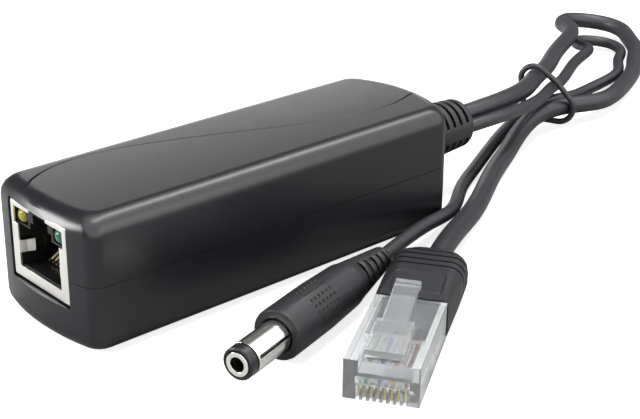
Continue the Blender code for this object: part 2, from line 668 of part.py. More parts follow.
def make_board():
    half = BOARD_WIDTH / 2
    board = block("circuit_board", (-half, BOARD_FRONT, BOARD_BOTTOM), (half, BOARD_BACK, BOARD_TOP),
                  BOARD_GREEN)
    holes = bmesh.new()
    hole_y = JACK_FRONT + PIN_Y
    for number in range(CONTACT_COUNT):
        x = (number - (CONTACT_COUNT - 1) / 2) * CONTACT_PITCH
        add_rod(holes, CONTACT_RADIUS + 0.2 * MM, (x, hole_y, 0), (x, hole_y, SEAM_HEIGHT), 8)
    for x, y in ((-POST_X, POST_FRONT_Y), (POST_X, POST_BACK_Y)):
        add_rod(holes, POST_PIN_RADIUS + FIT, (x, y, 0), (x, y, SEAM_HEIGHT), 12)
    cut(board, from_bmesh("board_holes", holes, home=CUTTERS))
    return board


def packaged_part(name, centre, size, material, legs=0, leg_reach=0.8 * MM):
    """A moulded component on the board, with legs along two sides where it has them."""
    x, y = centre
    width, length, height = size
    stand = BOARD_TOP + FIT
    body = block(name, (x - width / 2, y - length / 2, stand),
                 (x + width / 2, y + length / 2, stand + height), material)
    for number in range(legs):
        leg_y = y - length / 2 + length * (number + 0.5) / legs
        leg = block(f"{name}_legs_{number + 1}",
                    (x - width / 2 - leg_reach, leg_y - 0.25 * MM, stand),
                    (x + width / 2 + leg_reach, leg_y + 0.25 * MM, stand + 0.3 * MM), home=CUTTERS)
        cut(body, leg, "UNION")
    return body


def can(name, x, y, radius, height, material):
    """A radial capacitor: a can with a rolled groove near its foot."""
    made = turned(name, [
        (0, 0), (radius * 0.9, 0), (radius, 0.3 * MM), (radius, MM), (radius * 0.92, 1.3 * MM),
        (radius, 1.6 * MM), (radius, height - 0.4 * MM), (radius * 0.9, height), (0, height)],
        material, steps=18)
    made.rotation_euler.x = 0
    made.location = (x, y, BOARD_TOP + FIT)
    return made


def make_transformer(x, y, size):
    """A ferrite core of two halves round a taped winding."""
    width, length, height = size
    stand = BOARD_TOP + FIT
    yoke, leg = 2.2 * MM, 2.0 * MM
    core = block("transformer_core", (x - width / 2, y - length / 2, stand),
                 (x + width / 2, y + length / 2, stand + height), FERRITE)
    low, high = stand + 2.4 * MM, stand + height - 2.4 * MM
    for side in (-1, 1):
        edges = sorted((x + side * leg, x + side * (width / 2 - 1.6 * MM)))
        window = block(f"core_window_{(side + 3) // 2}", (edges[0], y - length, low),
                       (edges[1], y + length, high), home=CUTTERS)
        cut(core, window)
    ends = blocks("core_ends", [
        ((x - width, y - length, low), (x + width, y - length / 2 + yoke, high)),
        ((x - width, y + length / 2 - yoke, low), (x + width, y + length, high))])
    cut(core, ends)
    winding = block("transformer_winding",
                    (x - width / 2 + 1.6 * MM + FIT, y - length / 2 + yoke / 2, low + FIT),
                    (x + width / 2 - 1.6 * MM - FIT, y + length / 2 - yoke / 2, high - FIT), TAPE)
    round_edges(winding, 0.6 * MM, 2)
    hole = block("winding_hole", (x - leg - FIT, y - length / 2 + yoke - FIT, stand),
                 (x + leg + FIT, y + length / 2 - yoke + FIT, stand + height), home=CUTTERS)
    cut(winding, hole)


def make_components():
    """Rows from the jack to the strain relief, each row set against the board's two long edges."""
    edge = BOARD_WIDTH / 2 - COMPONENT_EDGE
    row = JACK_FRONT + JACK_DEPTH + ROW_GAP

    magnetics = (7.6 * MM, 12.8 * MM, 5.8 * MM)
    packaged_part("pulse_transformer", (-edge + magnetics[0] / 2 + 0.8 * MM, row + magnetics[1] / 2),
                  magnetics, EPOXY, legs=6)
    bridge = (3.9 * MM, 4.6 * MM, 2.5 * MM)
    for number in (0, 1):
        packaged_part(f"bridge_rectifier_{number + 1}",
                      (edge - bridge[0] / 2 - 0.8 * MM, row + MM + bridge[1] / 2 + number * 6.2 * MM),
                      bridge, EPOXY, legs=2)
    row += magnetics[1] + ROW_GAP

    transformer = (10.4 * MM, 10.4 * MM, 9.6 * MM)
    make_transformer(-edge + transformer[0] / 2, row + transformer[1] / 2, transformer)
    can("input_capacitor", edge - 3.15 * MM, row + transformer[1] / 2, 3.15 * MM, 11 * MM, CAN)
    row += transformer[1] + ROW_GAP

    chip = (3.9 * MM, 4.9 * MM, 1.5 * MM)
    packaged_part("controller_chip", (-edge + chip[0] / 2 + 2.5 * MM, row + chip[1] / 2), chip, EPOXY, legs=4)
    coupler = (4.4 * MM, 4.6 * MM, 3.3 * MM)
    packaged_part("optocoupler", (edge - coupler[0] / 2 - 0.8 * MM, row + coupler[1] / 2), coupler, EPOXY,
                  legs=2)
    row += chip[1] + ROW_GAP

    make_inductor(-edge + 4 * MM, row + 4 * MM)
    diode = (5.6 * MM, 6.8 * MM, 2.4 * MM)
    packaged_part("output_diode", (edge - diode[0] / 2, row + 4 * MM), diode, EPOXY)
    row += 8 * MM + ROW_GAP

    can("output_capacitor", -edge + 4 * MM, row + 4 * MM, 4 * MM, 11.5 * MM, CAN)
    disc = packaged_part("safety_capacitor", (edge - 2.9 * MM, row + 3 * MM), (5.8 * MM, 2.6 * MM, 6.4 * MM),
                         DISC_BLUE)
    round_edges(disc, 1.1 * MM, 3)


def make_inductor(x, y):
    """A drum-core choke: two flanges with a winding between them."""
    choke = turned("output_inductor", [
        (0, 0), (4 * MM, 0), (4 * MM, 1.2 * MM), (3.3 * MM, 1.5 * MM), (3.3 * MM, 4.7 * MM),
        (4 * MM, 5 * MM), (4 * MM, 6.2 * MM), (0, 6.2 * MM)], FERRITE, steps=18)
    choke.rotation_euler.x = 0
    choke.location = (x, y, BOARD_TOP + FIT)


# Strain relief and inner leads

def make_relief():
    """The moulded strain relief: a flange inside the wall, then a tapered, slotted cone."""
    taper_start = HOUSING_LENGTH / 2 - WALL
    relief = turned("cord_relief", [
        (0, FLANGE_FRONT), (FLANGE_RADIUS, FLANGE_FRONT), (FLANGE_RADIUS, FLANGE_BACK),
        (RELIEF_RADIUS, FLANGE_BACK), (RELIEF_RADIUS, taper_start),
        (RELIEF_END_RADIUS, RELIEF_END - 0.8 * MM), (RELIEF_END_RADIUS - 0.25 * MM, RELIEF_END - 0.25 * MM),
        (RELIEF_END_RADIUS - 0.8 * MM, RELIEF_END), (0, RELIEF_END)], RUBBER_BLACK, steps=28)
    relief.location.z = RELIEF_HEIGHT
    for number in range(RELIEF_SLOTS):
        y = RELIEF_END - 2.0 * MM - number * RELIEF_SLOT_PITCH
        share = (y - taper_start) / (RELIEF_END - 0.8 * MM - taper_start)
        surface = RELIEF_RADIUS + (RELIEF_END_RADIUS - RELIEF_RADIUS) * share
        groove = turned(f"relief_slot_{number + 1}", [
            (RELIEF_RADIUS + MM, y - RELIEF_SLOT_WIDTH / 2), (RELIEF_RADIUS + MM, y + RELIEF_SLOT_WIDTH / 2),
            (surface - RELIEF_SLOT_DEPTH, y + RELIEF_SLOT_WIDTH / 2),
            (surface - RELIEF_SLOT_DEPTH, y - RELIEF_SLOT_WIDTH / 2)], home=CUTTERS, steps=28, closed=True)
        groove.location.z = RELIEF_HEIGHT
        reach = RELIEF_RADIUS + 2 * MM
        web = block(f"relief_web_{number + 1}", (-reach, y - MM, RELIEF_HEIGHT - RELIEF_WEB),
                    (reach, y + MM, RELIEF_HEIGHT + RELIEF_WEB), home=CUTTERS)
        cut(groove, web)
        cut(relief, groove)
    return relief


def make_inner_leads():
    """Four pairs of the network lead and two power wires, from the relief down to their pads."""
    start = FLANGE_FRONT - 0.3 * MM
    pads = BOARD_TOP + 0.3 * MM
    offset = 0.8 * MM
    lan_x, lan_z = LAN_ROUTE[0][0] * MM, LAN_ROUTE[0][2] * MM
    pairs = [(-1, 1, -5.2), (-1, -1, -3.5), (1, -1, -1.6), (1, 1, 0.2)]
    for number, (across, up, pad_x) in enumerate(pairs):
        x, z = lan_x + across * offset, lan_z + up * offset
        back = 2.4 * MM if up > 0 else 0.8 * MM
        pad_y = BOARD_BACK - back
        tube(f"lan_lead_{number + 1}", [
            (x, start, z), (x, SADDLE_BACK - 0.3 * MM, z),
            ((x + pad_x * MM) / 2, SADDLE_FRONT, z - 0.6 * MM),
            (pad_x * MM, pad_y, pads + (2.6 * MM if up > 0 else 2 * MM)), (pad_x * MM, pad_y, pads)],
            0.55 * MM, JACKET_BLACK, resolution=1)
    dc_x, dc_z = DC_ROUTE[0][0] * MM, DC_ROUTE[0][2] * MM
    for number, across in enumerate((-1, 1)):
        x = dc_x + across * 0.65 * MM
        pad_x = x + across * 0.3 * MM
        pad_y = BOARD_BACK - MM
        tube(f"dc_lead_{number + 1}", [
            (x, start, dc_z), (x, SADDLE_BACK - 0.3 * MM, dc_z), (pad_x, SADDLE_FRONT, dc_z - MM),
            (pad_x, pad_y, pads + 2.2 * MM), (pad_x, pad_y, pads)], 0.5 * MM, JACKET_BLACK, resolution=1)


# Cords

def make_cords():
    lan = smooth_route(LAN_ROUTE, 2.1 * LAN_CORD_DIAMETER)
    dc = smooth_route(DC_ROUTE, 2.1 * DC_CORD_DIAMETER)
    tube("lan_cord", lan, LAN_CORD_DIAMETER / 2, JACKET_BLACK)
    tube("dc_cord", dc, DC_CORD_DIAMETER / 2, JACKET_BLACK)
    loop = taut_loop([(lan, LAN_CORD_DIAMETER / 2), (dc, DC_CORD_DIAMETER / 2)])
    tube("cord_tie", loop, TIE_DIAMETER / 2, JACKET_BLACK, cyclic=True)


def taut_loop(cords, steps=36):
    """The tie's centre line: a loop pulled round every stretch of cord that crosses its plane."""
    across = TIE_ALONG.cross(Vector((0, 0, 1))).normalized()
    rise = across.cross(TIE_ALONG)
    sections = []
    for points, radius in cords:
        for first, second in zip(points, points[1:]):
            first, second = Vector(first) - TIE_PLACE, Vector(second) - TIE_PLACE
            before, after = first.dot(TIE_ALONG), second.dot(TIE_ALONG)
            if before * after <= 0 and first.length < TIE_REACH:
                middle = first.lerp(second, before / (before - after))
                slant = abs((second - first).normalized().dot(TIE_ALONG))
                sections.append((middle, radius / slant + TIE_SLACK + TIE_DIAMETER / 2))
    loop = []
    for step in range(steps):
        angle = 2 * math.pi * step / steps
        outward = across * math.cos(angle) + rise * math.sin(angle)
        middle, reach = max(sections, key=lambda section: section[0].dot(outward) + section[1])
        loop.append(TIE_PLACE + middle + outward * reach)
    return loop


# Network plug

def make_lan_plug(frame):
    """The clear plug: a block with a bay for the cord, a wire slot, contact slots and its latch."""
    half = PLUG_WIDTH / 2
    body = block("lan_plug_body", (-half, 0, 0), (half, PLUG_LENGTH, PLUG_HEIGHT), CLEAR, frame)
    slots = CONTACT_PITCH * (CONTACT_COUNT - 1) / 2
    bay_front = 9.0 * MM
    wire_z = 2.95 * MM
    bay_side = 4.7 * MM
    cut(body, block("plug_bay", (-bay_side, bay_front, 1.1 * MM), (bay_side, PLUG_LENGTH + MM, 5.5 * MM),
                    None, frame, CUTTERS))
    channel = slots + WIRE_DIAMETER / 2 + 0.2 * MM
    cut(body, block("wire_channel", (-channel, 1.2 * MM, wire_z - 0.6 * MM),
                    (channel, bay_front + MM, wire_z + 0.6 * MM), None, frame, CUTTERS))
    blades = []
    for number in range(CONTACT_COUNT):
        x = -slots + number * CONTACT_PITCH
        blades.append(((x - 0.28 * MM, -MM, -MM), (x + 0.28 * MM, 3.9 * MM, wire_z - 0.5 * MM)))
    cut(body, blocks("contact_slots", blades, frame))
    cut(body, block("clamp_recess", (-3.6 * MM, 12.4 * MM, -MM), (3.6 * MM, 14.6 * MM, 0.7 * MM),
                    None, frame, CUTTERS))
    for piece in make_latch(frame):
        cut(body, piece, "UNION")
    for number in range(CONTACT_COUNT):
        x = -slots + number * CONTACT_PITCH
        contact = block(f"lan_plug_contact_{number + 1}", (x - 0.15 * MM, 0.35 * MM, 0.3 * MM),
                        (x + 0.15 * MM, 3.5 * MM, wire_z - WIRE_DIAMETER / 2 - 0.2 * MM), GOLD, frame)
        round_edges(contact, 0.1 * MM)
        layer = wire_z + (0.7 * MM if number % 2 else 0)
        tube(f"lan_plug_wire_{number + 1}", [
            (x, 1.5 * MM, wire_z), (x, bay_front - 0.5 * MM, wire_z), (x * 0.97, 11 * MM, layer),
            (x * 0.97, 12.9 * MM, layer)], WIRE_DIAMETER / 2, JACKET_BLACK, resolution=1, frame=frame)


def make_latch(frame):
    """The latch: locking shoulders at its root, then a long tongue that slopes up and back to a lip."""
    half = LATCH_WIDTH / 2
    lip = LATCH_THICKNESS - LATCH_LIP
    side = [(0, 0), (LATCH_LENGTH - 1.1 * MM, 0), (LATCH_LENGTH - 0.7 * MM, lip), (LATCH_LENGTH, lip),
            (LATCH_LENGTH, LATCH_THICKNESS), (0, LATCH_THICKNESS)]
    tongue = loft("plug_latch", [[(x, y, z) for y, z in side] for x in (-half, half)], None, frame, CUTTERS)
    proud = 0.12 * MM
    shoulder = LATCH_SHOULDER_WIDTH / 2
    root = block("latch_shoulders", (-shoulder, 0, -proud),
                 (shoulder, LATCH_SHOULDER_LENGTH, LATCH_THICKNESS + proud), None, frame, CUTTERS)
    for piece in (tongue, root):
        piece.location = (0, 0.9 * MM, PLUG_HEIGHT - 0.25 * MM)
        piece.rotation_euler.x = LATCH_SLOPE
    return root, tongue


def boot_section(half_width, low, high, corner, y):
    """A rounded rectangle across the boot."""
    corner = min(corner, half_width * 0.95, (high - low) / 2 * 0.95)
    points = []
    reach = half_width - corner
    middles = ((reach, high - corner), (-reach, high - corner), (-reach, low + corner), (reach, low + corner))
    for quarter, middle in enumerate(middles):
        points += arc(middle, corner, quarter * math.pi / 2, (quarter + 1) * math.pi / 2, 4)
    return [(x, y, z) for x, z in points]


def make_boot(frame):
    """The moulded boot: flush with the plug where it meets it, then wider, slotted and rounded."""
    start = PLUG_LENGTH + FIT
    end = PLUG_LENGTH + BOOT_LENGTH
    round_start = end - BOOT_END_CORNER

    def grown(y, front, full):
        share = min(1.0, max(0.0, (y - start) / (8 * MM)))
        return front + (full - front) * share

    def top(y):
        return grown(y, BOOT_FRONT_HEIGHT, BOOT_HEIGHT)

    def section(y, inset=0.0):
        corner = grown(y, 0.8 * MM, BOOT_CORNER)
        tuck = 0.0
        if y > round_start:
            turn = (y - round_start) / BOOT_END_CORNER
            tuck = BOOT_END_CORNER * (1 - math.sqrt(max(0.0, 1 - turn ** 2)))
        side = grown(y, BOOT_FRONT_WIDTH, BOOT_WIDTH) / 2 - inset - tuck
        rise = inset * 0.8 + tuck * 0.25
        return boot_section(side, 0.05 * MM + rise, top(y) - rise, corner, y)

    rings = [section(start), section(start + 4 * MM), section(start + 8 * MM)]
    first = end - 0.7 * MM - (BOOT_SLOTS - 1) * BOOT_SLOT_PITCH
    for number in range(BOOT_SLOTS):
        y = first + number * BOOT_SLOT_PITCH
        width = BOOT_SLOT_WIDTH / 2
        rings += [section(y - width), section(y - width * 0.7, BOOT_SLOT_DEPTH),
                  section(y + width * 0.7, BOOT_SLOT_DEPTH), section(y + width)]
    rings.append(section(end))
    boot = loft("lan_plug_boot", rings, RUBBER_BLACK, frame)
    core_side = 4.45 * MM
    core = block("boot_core", (-core_side, 13.3 * MM, 1.4 * MM), (core_side, start + MM, 5.2 * MM),
                 None, frame, CUTTERS)
    round_edges(core, 0.6 * MM, 2)
    cut(boot, core, "UNION")
    corner = 0.9 * MM
    side, front, back = 4.2 * MM - corner, start + 1.9 * MM + corner, start + 8.4 * MM - corner
    outline = []
    for quarter, middle in enumerate(((side, back), (-side, back), (-side, front), (side, front))):
        outline += arc(middle, corner, quarter * math.pi / 2, (quarter + 1) * math.pi / 2, 3)
    panel = tube("boot_panel", [(x, y, top(y)) for x, y in outline], 0.18 * MM, None, resolution=0,
                 frame=frame, home=CUTTERS, cyclic=True)
    cut(boot, meshed_cutter(panel))
    return boot


# Power plug

def make_dc_plug(frame):
    """The power plug: sleeve, insulator and inner socket in a moulded grip with a slotted relief."""
    grip_front = BARREL_LENGTH
    inside = grip_front + BARREL_HIDDEN
    sleeve_inner = BARREL_RADIUS - BARREL_WALL
    sleeve_front = COLLAR_LENGTH + FIT
    sleeve = turned("dc_plug_sleeve", [
        (BARREL_RADIUS, sleeve_front), (BARREL_RADIUS, inside), (sleeve_inner, inside),
        (sleeve_inner, sleeve_front)], NICKEL, frame, steps=28, closed=True)
    slot_z = -0.78 * MM
    cut(sleeve, block("sleeve_slot",
                      (sleeve_inner * 0.7, sleeve_front + 0.4 * MM, slot_z - SLEEVE_SLOT_WIDTH / 2),
                      (BARREL_RADIUS * 1.3, grip_front + MM, slot_z + SLEEVE_SLOT_WIDTH / 2),
                      None, frame, CUTTERS))
    socket_outer = SOCKET_HOLE_RADIUS + SOCKET_WALL
    rim = socket_outer + SOCKET_FLARE
    turned("dc_plug_socket", [
        (rim, -0.1 * MM), (rim, 0.1 * MM), (socket_outer, 0.45 * MM), (socket_outer, inside - MM),
        (SOCKET_HOLE_RADIUS, inside - MM), (SOCKET_HOLE_RADIUS, -0.1 * MM)],
        NICKEL, frame, steps=20, closed=True)
    bore = socket_outer + 0.2 * MM
    rim_seat = rim + 0.2 * MM
    skirt = sleeve_inner - 0.2 * MM
    collar = BARREL_RADIUS - 0.05 * MM
    turned("dc_plug_insulator", [
        (rim_seat, 0.0), (collar - 0.2 * MM, 0.0), (collar, 0.2 * MM), (collar, COLLAR_LENGTH),
        (skirt, COLLAR_LENGTH), (skirt, inside - 0.3 * MM), (bore, inside - 0.3 * MM), (bore, 0.75 * MM),
        (rim_seat, 0.45 * MM)], INSERT_BLACK, frame, steps=24, closed=True)
    grip_end = grip_front + GRIP_LENGTH
    end = grip_end + DC_RELIEF_LENGTH
    grip = turned("dc_plug_grip", [
        (0, grip_front), (GRIP_RADIUS - 0.5 * MM, grip_front),
        (GRIP_RADIUS - 0.1 * MM, grip_front + 0.2 * MM), (GRIP_RADIUS, grip_front + 0.7 * MM),
        (GRIP_RADIUS, grip_front + 11 * MM),
        (GRIP_RADIUS - 0.35 * MM, grip_end - MM), (GRIP_RADIUS - 0.6 * MM, grip_end),
        (DC_RELIEF_END_RADIUS, end - 0.3 * MM), (DC_RELIEF_END_RADIUS - 0.3 * MM, end), (0, end)],
        RUBBER_BLACK, frame, steps=28)
    hollow = bmesh.new()
    add_rod(hollow, BARREL_RADIUS + FIT, (0, grip_front - MM, 0), (0, inside + FIT, 0), 28)
    cut(grip, from_bmesh("grip_bore", hollow, None, frame, CUTTERS))
    plates = []
    for number in range(DC_RELIEF_SLOTS):
        y = end - 1.8 * MM - number * DC_RELIEF_SLOT_PITCH
        front, back = y - DC_RELIEF_SLOT_WIDTH / 2, y + DC_RELIEF_SLOT_WIDTH / 2
        for low, high in ((-GRIP_RADIUS - MM, -DC_RELIEF_WEB), (DC_RELIEF_WEB, GRIP_RADIUS + MM)):
            plates.append(((low, front, -GRIP_RADIUS), (high, back, GRIP_RADIUS)))
    cut(grip, blocks("grip_slots", plates, frame))
    return grip


def plug_frame(name, place, turn):
    frame = bpy.data.objects.new(name, None)
    PARTS.objects.link(frame)
    frame.location = place
    frame.rotation_euler.z = turn
    return frame


def build():
    window, relief_hole = make_openings()
    make_lower_shell(window, relief_hole)
    make_upper_shell(window, relief_hole)
    make_jack_shield()
    make_jack_insert()
    make_jack_contacts()
    make_lamps()
    make_board()
    make_components()
    make_relief()
    make_inner_leads()
    make_cords()
    lan_frame = plug_frame("lan_plug_frame", PLUG_PLACE, PLUG_TURN)
    make_lan_plug(lan_frame)
    make_boot(lan_frame)
    make_dc_plug(plug_frame("dc_plug_frame", DC_PLUG_PLACE, DC_PLUG_TURN))


build()
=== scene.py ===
"""Looks of a Power over Ethernet splitter: housing, jack, two captive leads and their plugs."""

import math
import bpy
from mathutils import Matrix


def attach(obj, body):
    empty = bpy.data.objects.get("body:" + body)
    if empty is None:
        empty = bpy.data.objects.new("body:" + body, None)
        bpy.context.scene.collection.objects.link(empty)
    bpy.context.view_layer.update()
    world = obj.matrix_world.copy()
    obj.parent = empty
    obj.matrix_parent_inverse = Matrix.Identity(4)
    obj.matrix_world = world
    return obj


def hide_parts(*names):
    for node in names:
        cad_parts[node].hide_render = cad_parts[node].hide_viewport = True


bl_info = {
    "name": "Power over Ethernet Splitter",
    "version": (1, 0, 0),
    "blender": (4, 5, 0),
    "location": "3D View > Sidebar > Splitter",
    "description": "Builds the finished splitter, its leads and a studio around the packed frame",
    "category": "Add Mesh",
}

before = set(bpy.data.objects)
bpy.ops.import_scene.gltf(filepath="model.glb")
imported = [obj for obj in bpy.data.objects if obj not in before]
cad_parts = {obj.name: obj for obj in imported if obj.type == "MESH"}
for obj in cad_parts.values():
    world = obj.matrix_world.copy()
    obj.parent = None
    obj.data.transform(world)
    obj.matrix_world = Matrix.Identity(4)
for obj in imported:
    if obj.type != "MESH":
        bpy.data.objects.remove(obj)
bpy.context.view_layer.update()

import bmesh
import bpy
import numpy as np
from bpy.props import FloatProperty, FloatVectorProperty, PointerProperty
from mathutils import Matrix, Vector

MM = 0.001
BODY = "root"

# The camera that took the picture, solved from the housing and the standard parts, and the nearest
# and farthest that it sees in metres
CAMERA_PLACE = Vector((180.8, -145.2, 111.4)) * MM
CAMERA_AZIMUTH = math.radians(47.83)
CAMERA_ELEVATION = math.radians(23.79)
CAMERA_ROLL = math.radians(0.52)
CAMERA_LENS = 80.8
CAMERA_SEES = (0.01, 20.0)

# The lamps: place, width and depth, the setting that holds the power, and the point that each
# faces. The key strip overhead lights the cover towards its far end, the low strip close by on the
# left grades it from side to side, and the other two keep the long side and the plugs from going
# black.
MIDDLE = (0, 0.03, 0.01)
LAMPS = {
    "key_lamp": ((-0.02, 0.26, 0.75), (0.14, 0.76), "key_power", MIDDLE),
    "back_lamp": ((-0.08, 0.075, 0.04), (0.16, 0.04), "back_power", (0, 0.075, 0.035)),
    "side_lamp": ((0.7, 0.25, 0.4), (0.4, 0.4), "side_power", MIDDLE),
    "front_lamp": ((-0.35, -0.45, 0.2), (0.3, 0.2), "fill_power", MIDDLE),
}

# What shiny pieces mirror: a bright ceiling that comes down on the right, and a dim room below it
CEILING_LEAN = (0.8, 0, 1)
CEILING_EDGE = (0.3, 0.7)
CEILING_LEVELS = (0.15, 2.4)

# The floor lies just under the splitter, and glows where it is seen, so that the paper is white
FLOOR_DROP = 0.02 * MM
FLOOR_GLOW = 0.8

# Routes of the two leads in millimetres, as the solids have them, and how finely they are followed
LAN_ROUTE = [
    (-0.7, 55.5, 13.1), (-0.8, 60, 13.1), (-1.6, 67, 12.8), (-3.6, 75.5, 12.1), (-7.2, 84.6, 11.1),
    (-12.4, 93.8, 10), (-17.96, 104.29, 8.8), (-25.51, 116.8, 7.8), (-32.46, 129.78, 6.9),
    (-40.53, 140.83, 6), (-46.52, 145.53, 5), (-48.19, 149.9, 4.6), (-47.77, 153.26, 4.1),
    (-45.46, 156.7, 3.6), (-40.72, 158.74, 3.2), (-36.59, 158.06, 2.9), (-31.81, 154.59, 2.6),
    (-26, 149.65, 2.3), (-20.99, 142.82, 2), (-16.07, 135.79, 2), (-12.03, 127.92, 2),
    (-7.99, 119.14, 2.6), (-5.01, 108.78, 3.2), (-5.87, 99.34, 4.1), (-7, 90.5, 4.1),
    (-4.7, 80.5, 2.7), (0.1, 71, 2), (6, 60, 2), (12.1, 50, 2), (17.7, 40.3, 2.4),
    (21.4, 32.8, 2.9), (25.1, 25.9, 3.4), (29, 19, 3.6),
]
DC_ROUTE = [
    (2.9, 55.5, 12.1), (3, 60, 12.1), (2.2, 67, 11.6), (0.2, 75.5, 10.7), (-3.4, 85, 9.5),
    (-8.8, 95, 8.1), (-14.3, 105.77, 6.3), (-20.69, 117.17, 5.4), (-26.09, 128.29, 4.6),
    (-31.08, 136.45, 3.9), (-35.83, 138.63, 3.2), (-38.29, 141.79, 2.8), (-38.21, 145.45, 2.3),
    (-35.94, 148.23, 1.9), (-32.34, 149.05, 1.7), (-29.18, 147.73, 1.5), (-24.55, 141.02, 1.32),
    (-18.85, 133.48, 1.4), (-16.14, 125.43, 1.5), (-14.73, 116.89, 1.6), (-12.7, 107.98, 2.4),
    (-11.65, 99.01, 3.6), (-11.1, 90, 3.1), (-8.7, 79.8, 1.7), (-4.1, 69.9, 1.4), (1.4, 59.2, 1.36),
    (7.1, 49.2, 1.6), (12.1, 42.4, 2.1), (15.3, 36.6, 2.9), (17, 30.5, 3.5), (19.4, 22.5, 4),
    (22.98, 12.45, 4.4),
]
ROUTE_SPACING = 1.2 * MM
STEPS_BETWEEN_KNOTS = 24

# The tie that holds the four stretches together: a point in its plane, the way the plane faces, and
# how far from the point a stretch is still held
TIE_PLACE = Vector((-13.0, 92.2, 6.0)) * MM
TIE_ALONG = Vector((-0.44, 0.898, 0.021)).normalized()
TIE_REACH = 20 * MM
TIE_SLACK = 0.3 * MM
TIE_DIAMETER = 1.3 * MM
TIE_STEPS = 72

# The power plug's grip: where its axis starts, and the dots on each side of a short line. Distances
# are along the plug, angles are round it in degrees, from its right side upwards
GRIP_PLACE = Vector((35.28, -29.64, 4.4)) * MM
GRIP_TURN = math.radians(16.3)
GRIP_RADIUS = 4.35 * MM
LINE_ANGLE = 78.0
LINE_WIDTH = 0.3 * MM
LINE_BEYOND = 0.3 * MM
LINE_DEPTH = 0.56 * MM
DOT_RADIUS = 0.36 * MM
DOT_TAPER = 0.3
DOT_DEPTH = 0.4 * MM
DOT_COLUMNS = [(17.3 + 1.09 * number) * MM for number in range(6)]
DOT_ROWS = [LINE_ANGLE + side * (18 + 15.5 * number) for side in (-1, 1) for number in range(5)]

# The sleeve's slot sits higher than in the solid, so the sleeve is turned in the grip
SLOT_TURN = math.radians(-36.5)

# Heights on the cover, and how far they sink: the seam closes finer than the solids' running gap,
# and the engraved line is cut deeper, so that it reads as dark as the real one
COVER_LEVELS = ((11.95 * MM, 0.2 * MM), (22.75 * MM, 0.25 * MM))
LEVEL_TOLERANCE = 0.01 * MM

# How the solids' triangles become a skin: points this close are one, facets this flat are one
# face, and edges sharper than these shade sharp and are rounded. A carved piece keeps the shading
# of its uncut skin as far as the reach
MERGE_DISTANCE = 0.002 * MM
FLAT_ANGLE = math.radians(0.3)
SHARP_ANGLE = math.radians(35)
ROUNDED_ANGLE = math.radians(40)
SKIN_REACH = 0.02 * MM

# Insulation of the plug's eight wires, from the side of contact 1
WIRE_COLOURS = ("#dfe9df", "#4f9a68", "#ead9cc", "#3d47a8",
                "#cfd6ea", "#e08a4e", "#e6dfd6", "#8a5a46")


def linear(colour):
    """An sRGB hex colour as linear red, green and blue."""
    values = [int(colour[i:i + 2], 16) / 255 for i in (1, 3, 5)]
    return tuple(v / 12.92 if v <= 0.04045 else ((v + 0.055) / 1.055) ** 2.4 for v in values)


# Settings that a user would change

def length(name, description, default):
    return FloatProperty(name=name, description=description, default=default, min=0.0, precision=5,
                         subtype="DISTANCE", unit="LENGTH")


def colour(name, description, default):
    return FloatVectorProperty(name=name, description=description, default=linear(default), size=3,
                               min=0.0, max=1.0, subtype="COLOR")


def level(name, description, default):
    return FloatProperty(name=name, description=description, default=default, min=0.0)


class SplitterHousingSettings(bpy.types.PropertyGroup):
    shell_colour: colour("Shell", "Colour of the moulded shells", "#1c1d21")
    edge_round: length("Edge round", "Radius left on the shells' sharp edges", 0.05 * MM)
    grain: length("Grain", "Distance between the grains of the spark-eroded finish", 0.22 * MM)


class SplitterJackSettings(bpy.types.PropertyGroup):
    shield_colour: colour("Shield", "Colour of the tinned shield", "#f1efe9")
    insert_colour: colour("Insert", "Colour of the plastic block in the jack", "#0d0d0e")
    yellow_lamp: colour("Yellow lamp", "Colour of the lamp on the left", "#aea43c")
    green_lamp: colour("Green lamp", "Colour of the lamp on the right", "#3a6e5c")


class SplitterLeadSettings(bpy.types.PropertyGroup):
    lan_diameter: length("Network lead", "Diameter of the network lead", 3.9 * MM)
    dc_diameter: length("Power lead", "Diameter of the power lead", 2.6 * MM)
    jacket_colour: colour("Jacket", "Colour of the leads' jackets", "#2f3034")
    relief_colour: colour("Moulded ends", "Colour of the moulded reliefs, boot and grip", "#1f2023")


class SplitterStageSettings(bpy.types.PropertyGroup):
    floor_size: length("Floor", "Width of the floor", 6.0)
    key_power: level("Key", "Power in watts of the overhead strip lamp", 3.85)
    back_power: level("Back", "Power in watts of the low strip behind", 0.035)
    side_power: level("Side", "Power in watts of the lamp on the right", 1.0)
    fill_power: level("Fill", "Power in watts of the low front lamp", 3.6)
    world_strength: level("Sky", "Strength of the light from all round", 0.15)


# Nodes and materials

def add_node(tree, kind, settings=None, **links):
    """Adds a node. Settings are its own values, and links its inputs, as values or other nodes'
    sockets, by name with _ for a space or by number as i0, i1 and so on."""
    node = tree.nodes.new(kind)
    for key, value in (settings or {}).items():
        setattr(node, key, value)
    for key, value in links.items():
        numbered = key[0] == "i" and key[1:].isdigit()
        socket = node.inputs[int(key[1:]) if numbered else key.replace("_", " ")]
        if isinstance(value, bpy.types.NodeSocket):
            tree.links.new(value, socket)
        else:
            socket.default_value = value
    return node


def new_material(name, base, roughness, metallic=0.0, **values):
    """A Principled material; values set more of the shader's sockets, with _ for a space."""
    material = bpy.data.materials.new(name)
    material.use_nodes = True
    tree = material.node_tree
    shader = tree.nodes["Principled BSDF"]
    shader.inputs["Base Color"].default_value = (*base, 1.0)
    shader.inputs["Roughness"].default_value = roughness
    shader.inputs["Metallic"].default_value = metallic
    for key, value in values.items():
        shader.inputs[key.replace("_", " ")].default_value = value
    return material, tree, shader


